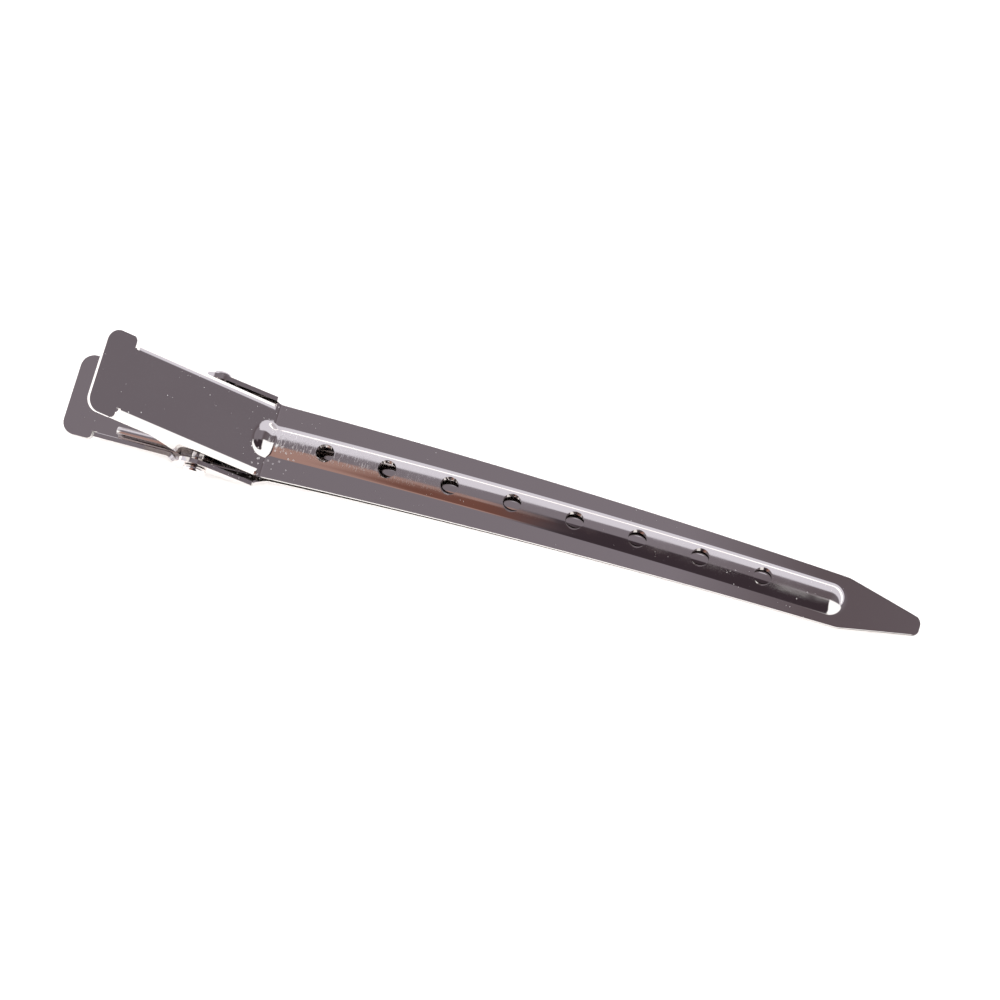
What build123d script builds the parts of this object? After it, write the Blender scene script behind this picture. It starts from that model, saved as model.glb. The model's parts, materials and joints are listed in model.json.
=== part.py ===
from build123d import *
import math
import os

# Duckbill hair clip, all lengths in millimetres and angles in degrees.
# It is drawn in a clip frame: X runs from the crease to the tip, Z is up, and the chord of the two blades
# lies along X at Z = 0. At the end the closed clip is tipped so that it rests on its lower tip and its lower
# thumb tab.

# Sheet metal
sheet = 0.45
inside_bend_radius = 0.3

# Blades
blade_length = 69.0
blade_arch = 3.4
root_width = 7.8
shoulder_width = 5.3
point_length = 8.1
point_end_width = 1.7
point_end_radius = 0.7
shoulder_radius = 3.0
root_gap = 1.0
tip_gap = 0.06

# Half-round rib along each blade, pressed upward, and the row of holes in the upper one. The lower rib nests in
# the hollow of the upper one, and toward the crease it runs out in the sheet.
rib_width = 3.5
rib_height = 1.45
rib_end_to_tip = 7.8
nest_clearance = 0.05
nest_front_clearance = 0.15
nested_rib_start = 2.0
nested_rib_full = 22.0
hole_count = 8
hole_diameter = 1.9
first_hole = 6.0
last_hole_to_rib_end = 8.86

# Handles and the thumb tabs at their heads
handle_length = 21.6
upper_angle = 36.0
lower_angle = 6.3
upper_crease_radius = 0.4
lower_crease_radius = 12.0
tab_length = 3.3
tab_width = 8.7
tab_outer_corner_radius = 1.4
tab_inner_corner_radius = 0.5
notch_width = 0.5

# Upper handle: a channel that opens downward, as wide as the blade's root, with an ear on each side
upper_flange_depth = 2.4
upper_ear_wall = 1.2
upper_ear_behind_pin = 6.9
flange_front = 0.7

# Lower handle: a shallow channel that opens upward, with ears outside the upper channel
lower_lip_height = 1.5
lip_inset = 0.65
ear_side_gap = 0.5
lower_ear_wall = 1.38
lower_ear_behind_pin = 3.0
lower_ear_front = 0.5
ear_flare = 1.2

# Pivot pin, with its place measured back from the crease along the lower handle
pin_back = 6.29
pin_diameter = 1.4
pin_head_overhang = 0.5
pin_head_thickness = 0.65
pin_dome = 0.3
pin_fit = 0.02
hinge_clearance = 0.05
head_clearance = 0.05
floor_clearance = 0.3

# Torsion spring
wire = 0.9
coil_clearance = 0.2
coil_gap = 0.15
spring_side_gap = 0.15
leg_end_to_notch = 2.1
leg_clearance = 0.04
leg_inset = 0.02
leg_root = 0.1

# Worked-out sizes
bend_radius = inside_bend_radius + sheet
upper_half = root_width / 2
ear_outer = upper_half + ear_side_gap + sheet
lip_outer = ear_outer - lip_inset
upper_ear_radius = pin_diameter / 2 + hinge_clearance + upper_ear_wall
lower_ear_radius = pin_diameter / 2 + pin_fit + lower_ear_wall
coil_radius = pin_diameter / 2 + coil_clearance + wire / 2
channel_end = handle_length - tab_length - notch_width
rib_radius = (rib_width**2 / 4 + rib_height**2) / (2 * rib_height)
rib_lift = sheet + rib_height - rib_radius
nested_rib_radius = rib_radius - sheet - nest_clearance
rib_end = blade_length - rib_end_to_tip
rib_front = rib_end - rib_width / 2
past_all = 2 * (blade_length + handle_length)


def crown_circle(start, end, sagitta):
    """Centre and radius of the arc that rises by sagitta between two points of the side view."""
    chord_x = end[0] - start[0]
    chord_z = end[1] - start[1]
    chord = math.hypot(chord_x, chord_z)
    radius = (chord**2 / 4 + sagitta**2) / (2 * sagitta)
    below = radius - sagitta
    centre_x = (start[0] + end[0]) / 2 + chord_z / chord * below
    centre_z = (start[1] + end[1]) / 2 - chord_x / chord * below
    return (centre_x, centre_z), radius


def on_circle(circle, x, lift=0.0):
    """Side-view point of the arc's upper side at a given X, with the arc moved outward by lift."""
    centre, radius = circle
    return (x, centre[1] + math.sqrt((radius + lift) ** 2 - (x - centre[0]) ** 2))


def meets_circle(point, direction, circle, lift):
    """Where a line through a point meets the arc moved outward by lift, on the side nearest the point."""
    centre, radius = circle
    dx = point[0] - centre[0]
    dz = point[1] - centre[1]
    toward = dx * direction[0] + dz * direction[1]
    root = math.sqrt(toward**2 + (radius + lift) ** 2 - dx**2 - dz**2)
    step = min(-toward + root, -toward - root, key=abs)
    return (point[0] + step * direction[0], point[1] + step * direction[1])


class Leaf:
    """One sheet of the clip in side view: its facing side is an arc along the blade and a straight line back
    along the handle, and the sheet lies above it (side 1) or below it (side -1)."""

    def __init__(self, side, handle_rise, crease_radius, rib_front):
        rise = math.radians(handle_rise)
        self.side = side
        self.crease_radius = crease_radius
        self.rib_front = rib_front
        self.root = (0.0, side * root_gap / 2)
        self.tip = (blade_length, side * tip_gap / 2)
        self.circle = crown_circle(self.root, self.tip, blade_arch - side * root_gap / 8)
        self.back = (-math.cos(rise), math.sin(rise))
        self.up = (math.sin(rise), math.cos(rise))

    def along(self, distance, rise):
        """Side-view point at a distance back along the handle's facing side and a rise above it."""
        return (
            self.root[0] + distance * self.back[0] + rise * self.up[0],
            self.root[1] + distance * self.back[1] + rise * self.up[1],
        )

    def from_side_view(self, point):
        """A side-view point as its distance back along the handle and its rise above the facing side."""
        dx = point[0] - self.root[0]
        dz = point[1] - self.root[1]
        return (dx * self.back[0] + dz * self.back[1], dx * self.up[0] + dz * self.up[1])

    def handle_plane(self):
        """Frame of the handle: X back along it, Z up from its facing side, origin at the crease."""
        return Plane(
            origin=(self.root[0], 0, self.root[1]),
            x_dir=(self.back[0], 0, self.back[1]),
            z_dir=(self.up[0], 0, self.up[1]),
        )


nested_front = rib_front - nest_front_clearance + nest_clearance
upper = Leaf(1, upper_angle, upper_crease_radius, rib_front)
lower = Leaf(-1, -lower_angle, lower_crease_radius, nested_front)

# The pin stands clear of the lower handle by the upper ear or the coil, whichever is larger.
pin_rise = max(upper_ear_radius, coil_radius + wire / 2) + floor_clearance
pin_side_view = lower.along(pin_back, pin_rise)
pin_place = Pos(pin_side_view[0], 0, pin_side_view[1]) * Rot(90, 0, 0)


def across(face):
    """Extrude a side-view face right across the clip."""
    return extrude(Plane.XZ * face, amount=past_all, both=True)


def beyond(leaf, lift, toward):
    """Everything above (toward 1) or below (toward -1) one surface of a leaf: blade arc, crease and straight
    handle, at a lift above its facing side. The upper surface is the inside of the bend."""
    corner = meets_circle(leaf.along(0, lift), leaf.back, leaf.circle, lift)
    tip = on_circle(leaf.circle, blade_length, lift)
    head = leaf.along(handle_length, lift)
    away = toward * past_all
    edges = [
        ThreePointArc(corner, on_circle(leaf.circle, blade_length / 2, lift), tip),
        Line(tip, (tip[0], away)),
        Line((tip[0], away), (head[0], away)),
        Line((head[0], away), head),
        Line(head, corner),
    ]
    face = make_face(edges)
    bend = face.vertices().sort_by_distance(Vector(*corner))[0]
    top_lift = max(0, leaf.side * sheet)
    return across(fillet(bend, leaf.crease_radius + top_lift - lift))


def blade_outline(run_back):
    """Plan view of a blade: straight taper and a pointed end with a blunt rounded tip."""
    shoulder_x = blade_length - point_length
    points = [
        (-run_back, -root_width / 2),
        (0, -root_width / 2),
        (shoulder_x, -shoulder_width / 2),
        (blade_length, -point_end_width / 2),
        (blade_length, point_end_width / 2),
        (shoulder_x, shoulder_width / 2),
        (0, root_width / 2),
        (-run_back, root_width / 2),
    ]
    face = make_face(Polyline(*points, close=True))
    face = fillet(face.vertices().group_by(Axis.X)[-1], point_end_radius)
    shoulders = face.vertices().sort_by(lambda vertex: abs(vertex.X - shoulder_x))[:2]
    return fillet(shoulders, shoulder_radius)


def under_crown(leaf, x, drop=0.0):
    """Point on the centre line of a blade's rib at a given X, or a drop below it."""
    place = on_circle(leaf.circle, x, rib_lift)
    return (place[0], 0, place[1] - drop)


def round_bar(path, radius):
    """Bar of round section along a path in the middle plane."""
    return sweep(Plane(origin=path @ 0, x_dir=(0, 1, 0), z_dir=path % 0) * Circle(radius), path=path)


def rib_bar(leaf, radius, rear_x):
    """Bar that follows the blade's arc under the rib's crown, with a ball at its front."""
    stops = (rear_x, (rear_x + leaf.rib_front) / 2, leaf.rib_front)
    path = ThreePointArc(*[under_crown(leaf, x) for x in stops])
    return round_bar(path, radius) + Pos(*under_crown(leaf, leaf.rib_front)) * Sphere(radius)


def nested_rib(radius):
    """The lower rib's bar. From its full height it sinks smoothly toward the crease, until its crown is lost in
    the sheet."""
    centre = lower.circle[0]
    full = under_crown(lower, nested_rib_full)
    rear_x = nested_rib_start - rib_width / 2
    run_out = (nested_rib_full - rear_x) / (nested_rib_full - nested_rib_start)
    rear = under_crown(lower, rear_x, (rib_lift + nested_rib_radius) * run_out**2)
    path = TangentArc(full, rear, tangent=(centre[1] - full[2], 0, full[0] - centre[0]))
    return rib_bar(lower, radius, nested_rib_full) + round_bar(path, radius)


def ribbed_plate(leaf, plan, strip_half, bar):
    """The sheet's blade and the flat strip of its handle, in plan outline, with the rib's bar run into it. The
    strip ends inside the thumb tab."""
    strip_end = (handle_length - tab_length / 2) * leaf.back[0]
    plan += Pos(strip_end / 2, 0) * Rectangle(-strip_end, 2 * strip_half)
    block = extrude(plan, amount=past_all, both=True) & beyond(leaf, max(0, leaf.side * sheet), -1)
    return (block + bar) & beyond(leaf, min(0, leaf.side * sheet), 1)


def handle_slab(leaf):
    """The handle's flat plate run on past the crease, which closes the rear end of the rib's hollow."""
    slab = Pos(handle_length / 2 - rib_width, 0) * Rectangle(handle_length, rib_width)
    return leaf.handle_plane() * extrude(slab, amount=leaf.side * sheet)


def folded_channel(half_width, side, start, end):
    """U section of bent sheet in the handle's frame. Its walls run to the facing side of the sheet."""
    outer = Rectangle(2 * half_width, past_all)
    outer = fillet(outer.vertices().group_by(Axis.Y)[-1], bend_radius)
    inner = Rectangle(2 * (half_width - sheet), past_all)
    inner = fillet(inner.vertices().group_by(Axis.Y)[-1], inside_bend_radius)
    section = Pos(0, sheet - past_all / 2) * (outer - Pos(0, -sheet) * inner)
    channel = Pos(start, 0, 0) * extrude(Plane.YZ * section, amount=end - start)
    return channel if side > 0 else mirror(channel, Plane.XY)


def ear_side_view(lobe, front, rear, base, front_rise, rear_rise):
    """Side view of an ear in the handle's frame: a round lobe with straight flanks down to a foot."""
    foot = Polyline((front, base), (front, front_rise), (rear, rear_rise), (rear, base), close=True)
    return make_hull(lobe.edges() + foot.edges())


def thumb_tab(side):
    """Flat tab at the head of a handle, in the handle's frame, with rounded corners."""
    outline = Pos(handle_length - tab_length / 2, 0) * Rectangle(tab_length, tab_width)
    outline = fillet(outline.vertices().group_by(Axis.X)[-1], tab_outer_corner_radius)
    outline = fillet(outline.vertices().group_by(Axis.X)[0], tab_inner_corner_radius)
    return extrude(outline, amount=side * sheet)


def pin_bore(clearance):
    """Hole for the pivot pin, right through both ears."""
    return pin_place * Cylinder(pin_diameter / 2 + clearance, past_all)


def vent_holes():
    """Round holes through the crown of the upper rib, square to the blade's arc."""
    centre, radius = upper.circle
    pitch = (rib_end - last_hole_to_rib_end - first_hole) / (hole_count - 1)
    drill = Cylinder(hole_diameter / 2, 2 * rib_height, align=(Align.CENTER, Align.CENTER, Align.MIN))
    holes = []
    for i in range(hole_count):
        lean = math.asin((first_hole + i * pitch - centre[0]) / (radius + sheet + rib_height))
        square = Pos(centre[0], 0, centre[1]) * Rot(0, math.degrees(lean), 0)
        holes.append(square * Pos(0, 0, radius + rib_height / 2) * drill)
    return holes


def upper_jaw():
    """Top sheet: pierced ribbed blade, crease, flanged handle with inner ears, thumb tab."""
    # The rib runs on back until its crown is below the handle's plate.
    arc_slope = math.degrees(math.asin((upper.circle[0][0] - upper.root[0]) / upper.circle[1]))
    rear_x = -2 * (rib_height + sheet) / math.tan(math.radians(upper_angle + arc_slope))
    plan = blade_outline(flange_front * math.cos(math.radians(upper_angle)))
    plate = ribbed_plate(upper, plan, upper_half - bend_radius, rib_bar(upper, rib_radius, rear_x))

    pin_at = upper.from_side_view(pin_side_view)
    lobe = Pos(*pin_at) * Circle(upper_ear_radius)
    ear_rear = pin_at[0] + upper_ear_behind_pin
    flange_low = sheet - upper_flange_depth
    ears = ear_side_view(lobe, flange_front, ear_rear, sheet, -sheet / 2, flange_low)
    taper_start = flange_front + 2 * bend_radius
    flange = [
        (taper_start, sheet),
        (channel_end, sheet),
        (channel_end, flange_low),
        (taper_start, flange_low / 2),
    ]
    channel = folded_channel(upper_half, 1, flange_front, channel_end)
    channel = channel & across(ears + make_face(Polyline(*flange, close=True)))
    jaw = plate + upper.handle_plane() * channel + upper.handle_plane() * thumb_tab(1)
    jaw -= rib_bar(upper, rib_radius - sheet, rear_x) - handle_slab(upper)
    return jaw - vent_holes() - pin_bore(hinge_clearance)


def lower_jaw():
    """Bottom sheet: blade with a nested rib, slight crease, handle with outer ears and low lips, thumb tab."""
    flare_half = ear_outer - bend_radius / 2
    flare = [
        (-lower_ear_front, -flare_half),
        (ear_flare, -root_width / 2),
        (ear_flare, root_width / 2),
        (-lower_ear_front, flare_half),
    ]
    plan = blade_outline(lower_ear_front) + make_face(Polyline(*flare, close=True))
    plate = ribbed_plate(lower, plan, lip_outer - bend_radius, nested_rib(nested_rib_radius))

    lobe = Pos(pin_back, pin_rise) * Circle(lower_ear_radius)
    ear_rear = pin_back + lower_ear_behind_pin
    lip_top = lower_lip_height - sheet
    ear = ear_side_view(lobe, lower_ear_front, ear_rear, -sheet, sheet, lip_top)
    lip = [
        (ear_rear, -sheet),
        (channel_end, -sheet),
        (channel_end, lip_top),
        (ear_rear, lip_top),
    ]
    ears = folded_channel(ear_outer, -1, lower_ear_front, ear_rear) & across(ear)
    lips = folded_channel(lip_outer, -1, ear_rear, channel_end)
    lips = lips & across(make_face(Polyline(*lip, close=True)))
    jaw = plate
    for piece in (ears, lips, thumb_tab(-1)):
        jaw += lower.handle_plane() * piece
    jaw -= nested_rib(nested_rib_radius - sheet)
    return jaw - pin_bore(pin_fit)


def pivot_pin():
    """Round pin with a domed head outside each lower ear."""
    seat = ear_outer + head_clearance
    head_radius = pin_diameter / 2 + pin_head_overhang
    head = Cylinder(head_radius, pin_head_thickness, align=(Align.CENTER, Align.CENTER, Align.MIN))
    head = fillet(head.edges().group_by(Axis.Z)[-1], pin_dome)
    pin = Cylinder(pin_diameter / 2, 2 * seat)
    pin += Pos(0, 0, seat) * head
    pin += Pos(0, 0, -seat) * Rot(180, 0, 0) * head
    return pin_place * pin


def spring_leg(start, direction, length):
    """Straight round wire that comes out of the coil's end face, a hair thinner than the coil's wire."""
    way = Vector(*direction)
    leg = Plane(origin=start - leg_root * way, z_dir=way) * Circle(wire / 2 - leg_inset)
    return extrude(leg, amount=leg_root + length)


def torsion_spring():
    """Coil round the pin. One leg lies on the lower handle at the near side, the other under the upper handle
    at the far side, and the free end of each bears on its handle."""
    seat = coil_radius + wire / 2 + leg_clearance
    upper_at = upper.from_side_view(pin_side_view)
    lower_length = channel_end - pin_back - leg_end_to_notch
    upper_length = channel_end - upper_at[0] - leg_end_to_notch
    lower_lean = math.radians(lower_angle) + math.asin((pin_rise - seat) / lower_length)
    upper_lean = math.radians(upper_angle) + math.asin((-upper_at[1] - seat) / upper_length)

    # Angles round the pin run from the front over the top. The lower leg leaves the coil near its bottom and
    # the upper leg near its top, both backward.
    first = lower_lean - math.pi / 2
    last = math.pi / 2 - upper_lean
    part_turn = (last - first) / (2 * math.pi)
    near_y = -(upper_half - sheet - spring_side_gap - wire / 2)
    width = -2 * near_y
    turns = math.floor(width / (wire + coil_gap) - part_turn) + part_turn
    start = Plane(
        origin=(pin_side_view[0], near_y, pin_side_view[1]),
        x_dir=(math.cos(first), 0, math.sin(first)),
        z_dir=(0, 1, 0),
    )
    path = start * Helix(width / turns, width, coil_radius, lefthand=True)
    spring = sweep(Plane(origin=path @ 0, z_dir=path % 0) * Circle(wire / 2), path=path, is_frenet=True)
    spring += spring_leg(path @ 0, (-math.cos(lower_lean), 0, -math.sin(lower_lean)), lower_length)
    spring += spring_leg(path @ 1, (-math.cos(upper_lean), 0, math.sin(upper_lean)), upper_length)
    return spring


parts = {
    "upper_jaw": upper_jaw(),
    "lower_jaw": lower_jaw(),
    "pivot_pin": pivot_pin(),
    "torsion_spring": torsion_spring(),
}

# Tip the clip until the lower tip and the lower thumb tab's rear edge are level, then put the middle of its
# foot at the origin.
tip_foot = on_circle(lower.circle, blade_length, -sheet)
tab_foot = lower.along(handle_length, -sheet)
level = Rot(0, math.degrees(math.atan2(tip_foot[1] - tab_foot[1], tip_foot[0] - tab_foot[0])), 0)
box = Compound(children=[level * part for part in parts.values()]).bounding_box()
rest = Pos(-box.center().X, -box.center().Y, -box.min.Z) * level

os.makedirs("parts", exist_ok=True)
for name, part in parts.items():
    export_step(rest * part, f"parts/{name}.step")

print("size", box.size)
print("hinge", (rest * pin_place).position)
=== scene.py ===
import json
import math

import bmesh
import bpy
import numpy as np
from mathutils import Matrix, Vector


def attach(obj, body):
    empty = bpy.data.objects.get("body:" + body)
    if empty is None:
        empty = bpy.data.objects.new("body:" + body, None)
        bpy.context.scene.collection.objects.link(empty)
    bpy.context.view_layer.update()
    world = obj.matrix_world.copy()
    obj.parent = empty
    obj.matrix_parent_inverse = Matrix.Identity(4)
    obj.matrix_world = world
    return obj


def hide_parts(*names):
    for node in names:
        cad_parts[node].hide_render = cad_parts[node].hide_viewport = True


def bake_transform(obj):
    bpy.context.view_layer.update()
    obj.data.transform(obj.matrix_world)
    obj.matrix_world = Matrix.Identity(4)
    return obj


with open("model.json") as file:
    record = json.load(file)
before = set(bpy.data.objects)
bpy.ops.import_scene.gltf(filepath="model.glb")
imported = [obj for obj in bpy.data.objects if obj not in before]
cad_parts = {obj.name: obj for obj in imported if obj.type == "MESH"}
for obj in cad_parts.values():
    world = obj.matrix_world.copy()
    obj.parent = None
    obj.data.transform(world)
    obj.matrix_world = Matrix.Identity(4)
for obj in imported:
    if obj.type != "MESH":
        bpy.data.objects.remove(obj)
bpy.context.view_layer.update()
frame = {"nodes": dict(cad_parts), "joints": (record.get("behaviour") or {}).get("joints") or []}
print("frame loaded:", ", ".join(sorted(frame["nodes"])))

mm = 0.001

# The clip is drawn in millimetres and closed: x from the crease to the tip, z up, the blades' chord at
# z = 0. A jaw is worked out with its outer side up, so the lower one is turned over at the end. toRest then
# puts each piece where the frame has it.
sideView = {
    "sheet": 0.45,  # steel sheet of both jaws
    "bladeLength": 69.0,  # crease to tip, along the chord
    "arch": 3.4,  # rise of the blades between crease and tip
    "rootGap": 1.0,  # between the jaws at the crease
    "tipGap": 0.06,
    "handleLength": 21.6,
    "tabLength": 3.3,
    "notchWidth": 0.5,
    "bendRadius": 0.75,  # outside of a folded edge
    "shearedEdge": 0.07,  # width of the broken edge that tumbling leaves
}
blade = {
    "rootHalf": 3.9,  # half its width at the crease
    "shoulderHalf": 2.65,  # and where the point begins
    "pointLength": 8.1,
    "pointHalf": 0.85,
    "pointRadius": 0.7,
    "shoulderRadius": 3.0,
}
thumbTab = {
    "half": 4.35,
    "outerCorner": 1.4,
    "innerCorner": 0.5,
    "rows": (19.7, 19.2),  # along the handle, between the rounded corners
    "stripMargin": 0.5,  # from the rib's foot, at the tab's rear edge
}
drawn = {  # how finely the sheet is drawn, in faces over each part of it
    "ribCap": 15,
    "ribFoot": 5,
    "besideRib": 4,
    "margin": 4,
    "bend": 7,
    "wall": 8,
    "tabCorner": 8,
    "shoulder": 4,
    "pointCorner": 7,
    "ribToShoulder": 2,
    "shoulderToPoint": 12,
    "tipEdge": 3,
    "bore": 64,  # sides of the round hole through the ears
    "channelStep": 0.5,  # mm between the rows at the channel's rear end
}

sheet = sideView["sheet"]
bladeLength = sideView["bladeLength"]
channelEnd = sideView["handleLength"] - sideView["tabLength"] - sideView["notchWidth"]
leastWall = 0.03  # a folded side reaches at least this far below its bend
farBelow = -9.0  # where there is no dome, it is below all else
tabBack = channelEnd + sideView["notchWidth"]


def arcThrough(start, end, rise):
    dx, dz = end[0] - start[0], end[1] - start[1]
    chord = math.hypot(dx, dz)
    radius = (chord**2 / 4 + rise**2) / (2 * rise)
    drop = (radius - rise) / chord
    return (start[0] + end[0]) / 2 + dz * drop, (start[1] + end[1]) / 2 - dx * drop, radius


# the facing side of each jaw's blade, by side: 1 is the upper jaw, -1 the lower
facingArc = {
    side: arcThrough(
        (0, side * sideView["rootGap"] / 2),
        (bladeLength, side * sideView["tipGap"] / 2),
        sideView["arch"] - side * sideView["rootGap"] / 8,
    )
    for side in (1, -1)
}


def arcHeight(side, x, lift):
    x0, z0, radius = facingArc[side]
    return z0 + np.sqrt((radius + lift) ** 2 - (x - x0) ** 2)


def ribSection(radius, height, foot):
    # a round cap, then a small hollow foot that runs out on the flat sheet
    # the columns are the mesh's places across it, from the middle plane
    sink = radius - height
    footEnd = math.sqrt((radius + foot) ** 2 - (foot + sink) ** 2)
    turn = math.atan2(footEnd, foot + sink)
    capSteps = np.linspace(0, turn, drawn["ribCap"] + 1)
    footSteps = np.linspace(turn, 0, drawn["ribFoot"] + 1)[1:]
    return {
        "radius": radius,
        "height": height,
        "sink": sink,
        "foot": foot,
        "footEnd": footEnd,
        "turn": turn,
        "columns": np.concatenate([radius * np.sin(capSteps), footEnd - foot * np.sin(footSteps)]),
    }


def ribHeight(section, x, y, frontX, drop=0.0):
    # a drop lowers the cap in its section, so the rib gets lower and narrower
    radius, foot, sink = section["radius"], section["foot"], section["sink"] + drop
    footEnd = np.sqrt(np.maximum((radius + foot) ** 2 - (foot + sink) ** 2, 0))
    away = np.hypot(np.maximum(x - frontX, 0), y)
    cap = np.sqrt(np.maximum(radius**2 - away**2, 0)) - sink
    hollow = foot - np.sqrt(np.maximum(foot**2 - (footEnd - away) ** 2, 0))
    return np.where(away < footEnd * radius / (radius + foot), cap, np.where(away < footEnd, hollow, 0))


def softMax(a, b, reach):
    return np.maximum(a, b) + np.maximum(reach - np.abs(a - b), 0) ** 2 / (4 * reach)


def smoothStep(low, high, x):
    t = np.clip((x - low) / (high - low), 0, 1)
    return t * t * (3 - 2 * t)


def roundCorner(before, corner, after, radius, faces):
    a = (Vector(before) - Vector(corner)).normalized()
    b = (Vector(after) - Vector(corner)).normalized()
    half = a.angle(b) / 2
    centre = Vector(corner) + (a + b).normalized() * radius / math.sin(half)
    start = Vector(corner) + a * radius / math.tan(half) - centre
    end = Vector(corner) + b * radius / math.tan(half) - centre
    turn = math.pi - 2 * half
    return [
        tuple(centre + (start * math.sin(turn * (1 - t)) + end * math.sin(turn * t)) / math.sin(turn))
        for t in np.linspace(0, 1, faces + 1)
    ]


def pointOutline(ribFront):
    # the blade's edge from beside the rib's front end to the middle of the tip
    shoulderX = bladeLength - blade["pointLength"]
    root = (0, blade["rootHalf"])
    shoulder = (shoulderX, blade["shoulderHalf"])
    point = (bladeLength, blade["pointHalf"])
    middle = (bladeLength, 0)
    first = (ribFront, edgeHalf(ribFront))
    around = roundCorner(root, shoulder, point, blade["shoulderRadius"], drawn["shoulder"])
    corner = roundCorner(shoulder, point, middle, blade["pointRadius"], drawn["pointCorner"])
    return np.array(
        between(first, around[0], drawn["ribToShoulder"])[:-1]
        + around[:-1]
        + between(around[-1], corner[0], drawn["shoulderToPoint"])[:-1]
        + corner[:-1]
        + between(corner[-1], middle, drawn["tipEdge"])
    )


def between(a, b, faces):
    return [tuple(np.array(a) + (np.array(b) - np.array(a)) * t) for t in np.linspace(0, 1, faces + 1)]


def edgeHalf(x):
    along = np.clip(x / (bladeLength - blade["pointLength"]), 0, 1)
    return blade["rootHalf"] + (blade["shoulderHalf"] - blade["rootHalf"]) * along


def tangentPoint(start, centre, radius, turnSide):
    # where a line from start touches a circle, on its lower side
    dx, dz = centre[0] - start[0], centre[1] - start[1]
    away = math.hypot(dx, dz)
    angle = math.atan2(dz, dx) + turnSide * math.asin(radius / away)
    reach = math.sqrt(away**2 - radius**2)
    return start[0] + reach * math.cos(angle), start[1] + reach * math.sin(angle)


def addGrid(net, points, keep=None):
    rows, columns = points.shape[:2]
    base = len(net["points"])
    net["points"].extend(points.reshape(-1, 3).tolist())
    for i in range(rows - 1):
        for j in range(columns - 1):
            if keep is None or keep[i, j]:
                a = base + i * columns + j
                net["faces"].append((a, a + 1, a + columns + 1, a + columns))


def stepped(*stops):
    # distances from the first stop to the last: (stop, step up to the next) pairs, then the last stop
    values = []
    for (start, step), end in zip(stops[:-1], [stop[0] for stop in stops[1:-1]] + [stops[-1]]):
        values += list(np.linspace(start, end, max(2, round(abs(end - start) / step) + 1))[:-1])
    return values + [stops[-1]]


upperJaw = {
    "side": 1,
    "rise": 36.0,  # the handle against the blades' chord, degrees
    "crease": 0.19,  # how softly the blade turns into the handle
    "rib": ribSection(1.9, 0.75, 0.9),
    "ribFront": 59.45,
    "ribEnd": 61.2,
    "pinch": (0.15, 0.3, 0.7),  # depth, place and reach of the rib's dip at the crease
    "dome": (0.55, 2.2, 1.35),  # place along the handle, radius and sink of the rib's end behind the crease
    "domeCrease": 0.4,  # how softly that end runs into the handle
    "ribCrease": 0.12,  # and the rib into it
    "stripHalf": 3.15,  # half the handle's flat top, up to the folds
    "flangeFront": 0.7,
    "earRadius": 1.95,
    "earFront": -0.225,  # the flange's lower edge at its front end
    "earRear": 12.479,
    "flangeLow": -1.95,  # and behind the ear
    "bore": 0.75,
    "holes": 8,
    "holeRadius": 0.95,
    "firstHole": 6.0,
    "lastHoleToRibEnd": 8.86,
    "pitchCells": 44,  # mesh rows from one hole to the next
    "leadCells": 32,  # rows of the same size before the first hole
    "holeCells": 5,  # a hole takes the place of twice this many rows
    "spreadCells": 13,  # and the cells round it are drawn in from this far out
    "handleSteps": ((9.0, 0.25), (3.4, 0.1)),  # from each place on, the step between rows
    "bladeStep": 0.08,  # from the channel's front end
    "frontStep": 0.17,  # from the last hole to the rib's end
}
lowerJaw = {
    "side": -1,
    "rise": 6.3,
    "crease": 0.054,
    "rib": ribSection(0.95, 0.7, 1.85),  # a groove from below; it nests in the upper rib
    "ribFront": 59.35,
    "ribRunOut": (2.0, 22.0),  # it sinks into the sheet toward the crease
    "stripHalf": 3.45,
    "earStripHalf": 4.1,
    "earEase": (8.6, 9.8),  # the ears' fold runs in to the narrower lips
    "flangeFront": 0.5,
    "flareEnd": 1.2,  # the blade widens from here to the lips
    "flareHalf": 4.457,
    "flareCurve": 1.5,
    "earRadius": 2.1,
    "earFront": -0.45,
    "earRear": 9.29,
    "flangeLow": -1.05,
    "bore": 0.72,
    "handleSteps": ((9.8, 0.2),),
    "bladeStep": 0.1,
    "bladeSteps": ((0.8, 0.06), (1.6, 0.3), (22.0, 0.5)),
}
pin = {"back": 6.29, "up": 2.25}  # along and above the lower handle's facing side
boreReach = 12.0  # each way from the middle, past both ears

lowerRise = math.radians(lowerJaw["rise"])
pinX = -pin["back"] * math.cos(lowerRise) - pin["up"] * math.sin(lowerRise)
pinZ = -sideView["rootGap"] / 2 - pin["back"] * math.sin(lowerRise) + pin["up"] * math.cos(lowerRise)

# the closed clip lies on its lower tip and the back edge of its lower tab
tipFoot = (bladeLength, arcHeight(-1, bladeLength, -sheet))
tabFoot = (
    -sideView["handleLength"] * math.cos(lowerRise) + sheet * math.sin(lowerRise),
    -sideView["rootGap"] / 2 - sideView["handleLength"] * math.sin(lowerRise) - sheet * math.cos(lowerRise),
)
lean = math.atan2(tipFoot[1] - tabFoot[1], tipFoot[0] - tabFoot[0])
hinge = Vector(frame["joints"][0]["pos_m"])
toRest = (
    Matrix.Translation(hinge)
    @ Matrix.Rotation(lean, 4, "Y")
    @ Matrix.Scale(mm, 4)
    @ Matrix.Translation((-pinX, 0, -pinZ))
)


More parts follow.
